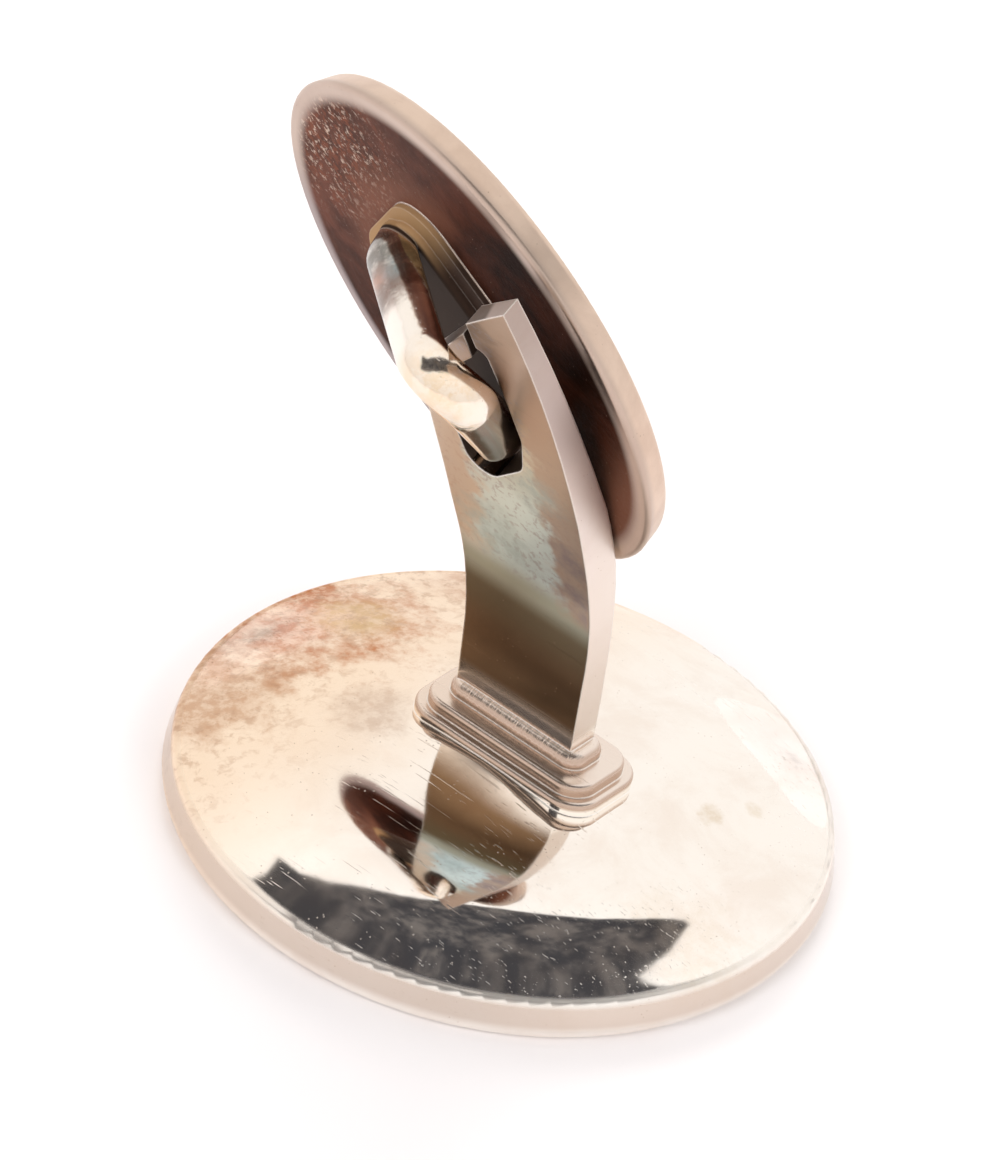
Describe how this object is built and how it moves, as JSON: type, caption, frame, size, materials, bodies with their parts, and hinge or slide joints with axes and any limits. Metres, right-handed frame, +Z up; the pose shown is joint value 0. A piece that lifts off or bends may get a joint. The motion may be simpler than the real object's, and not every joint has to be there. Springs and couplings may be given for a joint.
{
  "type": "cufflink",
  "caption": "Silver cufflink: a large domed round button with a stepped foot and a curved split strap, and a smaller round toggle button hung in the strap's eye by a bent bail.",
  "frame": {"origin": "centre of the large button's rest face, on the rim that it lies on", "axes": "+Z up out of the large button's back, +X across the strap's width, +Y to the side on which the toggle button hangs"},
  "size_m": [0.0193, 0.018, 0.0227],
  "materials": {
    "front_button": "polished silver with warm tarnish",
    "toggle_button": "polished silver, brown tarnish on the flat back"
  },
  "bodies": {
    "front_button": {"front_button": "front_button"},
    "toggle_button": {"toggle_button": "toggle_button"}
  },
  "joints": [
    {"name": "toggle_swing", "type": "hinge", "parent": "front_button", "child": "toggle_button", "pos_m": [0, -0.004, 0.0155], "axis": [1, 0, 0], "range_deg": [0, 14]}
  ]
}
